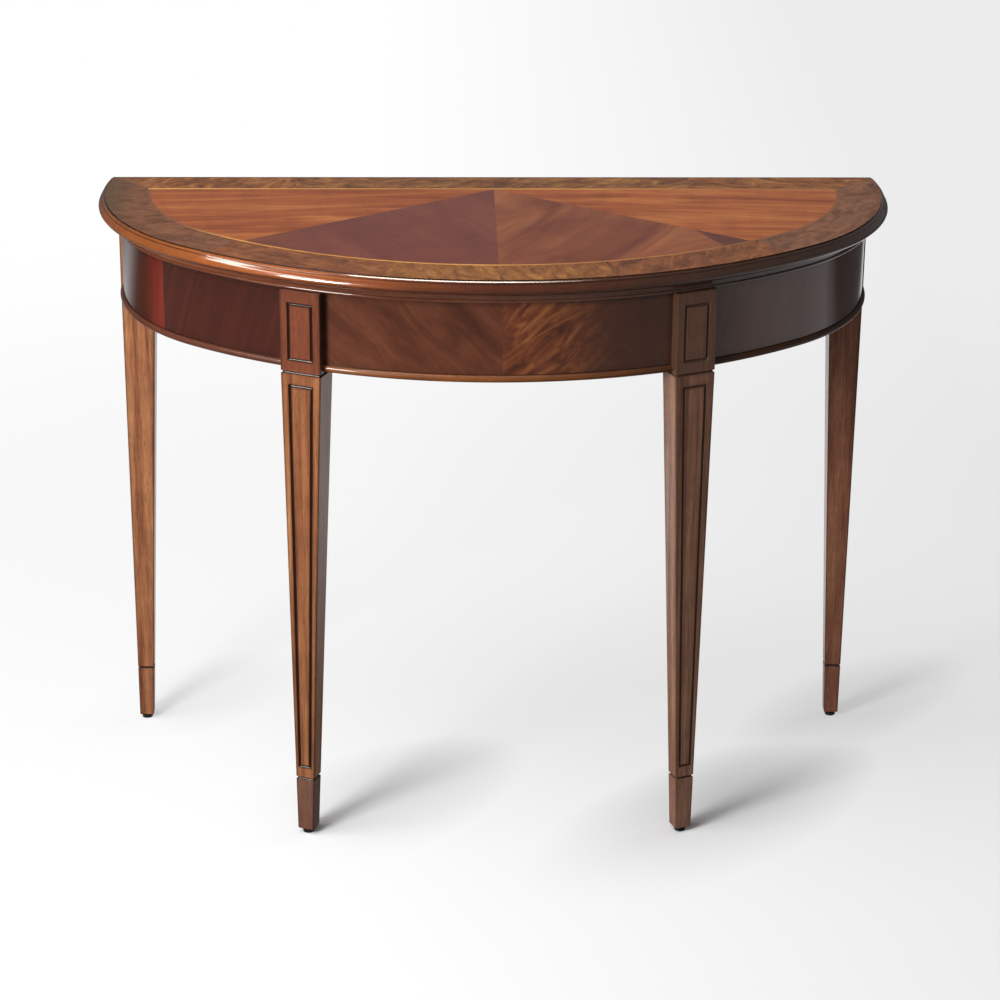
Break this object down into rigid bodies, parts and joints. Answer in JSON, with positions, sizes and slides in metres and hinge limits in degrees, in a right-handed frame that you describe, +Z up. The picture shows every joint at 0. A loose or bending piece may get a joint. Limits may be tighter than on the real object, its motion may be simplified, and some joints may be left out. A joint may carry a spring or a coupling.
{
  "type": "demilune table",
  "caption": "Half-round console table with a fan-veneered top, moulded edge, bowed apron with a bead, and square tapered legs on levelling glides.",
  "frame": {"origin": "on the floor, under the middle of the table's bounding box", "axes": "+X along the straight back to the right as seen from the front, +Y to the wall, +Z up"},
  "size_m": [1.067, 0.445, 0.813],
  "materials": {
    "core_board": "bare board",
    "plain_wood": "plain planed wood",
    "border_veneer": "polished crossbanded veneer",
    "light_leaf": "polished veneer",
    "dark_leaf": "polished veneer",
    "wedge_leaf": "polished veneer",
    "string_inlay": "polished light inlay",
    "moulding_wood": "polished",
    "apron_veneer": "polished figured veneer",
    "bead_wood": "polished",
    "leg_wood": "polished",
    "screw_steel": "zinc plated",
    "insert_brass": "plain",
    "glide_plastic": "black moulded"
  },
  "bodies": {
    "table": {"top_core": "core_board", "back_lipping": "plain_wood", "back_rail": "plain_wood", "top_fixing_blocks": "plain_wood", "rail_dowels": "plain_wood", "apron_rail_left": "plain_wood", "apron_rail_centre": "plain_wood", "apron_rail_right": "plain_wood", "border_front_left": "border_veneer", "border_bow_left": "border_veneer", "border_end_left": "border_veneer", "border_front_right": "border_veneer", "border_bow_right": "border_veneer", "border_end_right": "border_veneer", "border_back_inner_left": "border_veneer", "border_back_outer_left": "border_veneer", "border_back_inner_right": "border_veneer", "border_back_outer_right": "border_veneer", "field_leaf_rear_left": "light_leaf", "field_leaf_rear_right": "light_leaf", "field_leaf_main_left": "dark_leaf", "field_leaf_main_right": "dark_leaf", "field_leaf_wedge_left": "wedge_leaf", "field_leaf_wedge_right": "wedge_leaf", "string_back": "string_inlay", "string_curved": "string_inlay", "edge_moulding_left": "moulding_wood", "edge_moulding_front": "moulding_wood", "edge_moulding_right": "moulding_wood", "bed_moulding_left": "moulding_wood", "bed_moulding_front": "moulding_wood", "bed_moulding_right": "moulding_wood", "apron_veneer_left_a": "apron_veneer", "apron_veneer_left_b": "apron_veneer", "apron_veneer_centre_a": "apron_veneer", "apron_veneer_centre_b": "apron_veneer", "apron_veneer_right_a": "apron_veneer", "apron_veneer_right_b": "apron_veneer", "apron_bead_left": "bead_wood", "apron_bead_centre": "bead_wood", "apron_bead_right": "bead_wood", "front_leg_left": "leg_wood", "front_leg_right": "leg_wood", "back_leg_left": "leg_wood", "back_leg_right": "leg_wood", "top_fixing_screws": "screw_steel", "leveller_inserts": "insert_brass"},
    "pad_front_left": {"leveller_pad_front_left": "glide_plastic"},
    "pad_front_right": {"leveller_pad_front_right": "glide_plastic"},
    "pad_back_left": {"leveller_pad_back_left": "glide_plastic"},
    "pad_back_right": {"leveller_pad_back_right": "glide_plastic"},
    "stem_front_left": {"leveller_stem_front_left": "screw_steel"},
    "stem_front_right": {"leveller_stem_front_right": "screw_steel"},
    "stem_back_left": {"leveller_stem_back_left": "screw_steel"},
    "stem_back_right": {"leveller_stem_back_right": "screw_steel"}
  },
  "joints": [
    {"name": "front_left_lift", "type": "slide", "parent": "table", "child": "pad_front_left", "axis": [0, 0, -1], "range_m": [-0.0012, 0.008]},
    {"name": "front_left_turn", "type": "hinge", "parent": "pad_front_left", "child": "stem_front_left", "pos_m": [-0.25281, -0.14557, 0.007], "axis": [0, 0, -1], "range_deg": [-433, 2881]},
    {"name": "front_right_lift", "type": "slide", "parent": "table", "child": "pad_front_right", "axis": [0, 0, -1], "range_m": [-0.0012, 0.008]},
    {"name": "front_right_turn", "type": "hinge", "parent": "pad_front_right", "child": "stem_front_right", "pos_m": [0.25281, -0.14557, 0.007], "axis": [0, 0, -1], "range_deg": [-433, 2881]},
    {"name": "back_left_lift", "type": "slide", "parent": "table", "child": "pad_back_left", "axis": [0, 0, -1], "range_m": [-0.0012, 0.008]},
    {"name": "back_left_turn", "type": "hinge", "parent": "pad_back_left", "child": "stem_back_left", "pos_m": [-0.4995, 0.2035, 0.007], "axis": [0, 0, -1], "range_deg": [-433, 2881]},
    {"name": "back_right_lift", "type": "slide", "parent": "table", "child": "pad_back_right", "axis": [0, 0, -1], "range_m": [-0.0012, 0.008]},
    {"name": "back_right_turn", "type": "hinge", "parent": "pad_back_right", "child": "stem_back_right", "pos_m": [0.4995, 0.2035, 0.007], "axis": [0, 0, -1], "range_deg": [-433, 2881]}
  ],
  "couplings": [
    {"joint": "front_left_turn", "follows": "front_left_lift", "rad_per_m": 6283.2},
    {"joint": "front_right_turn", "follows": "front_right_lift", "rad_per_m": 6283.2},
    {"joint": "back_left_turn", "follows": "back_left_lift", "rad_per_m": 6283.2},
    {"joint": "back_right_turn", "follows": "back_right_lift", "rad_per_m": 6283.2}
  ]
}
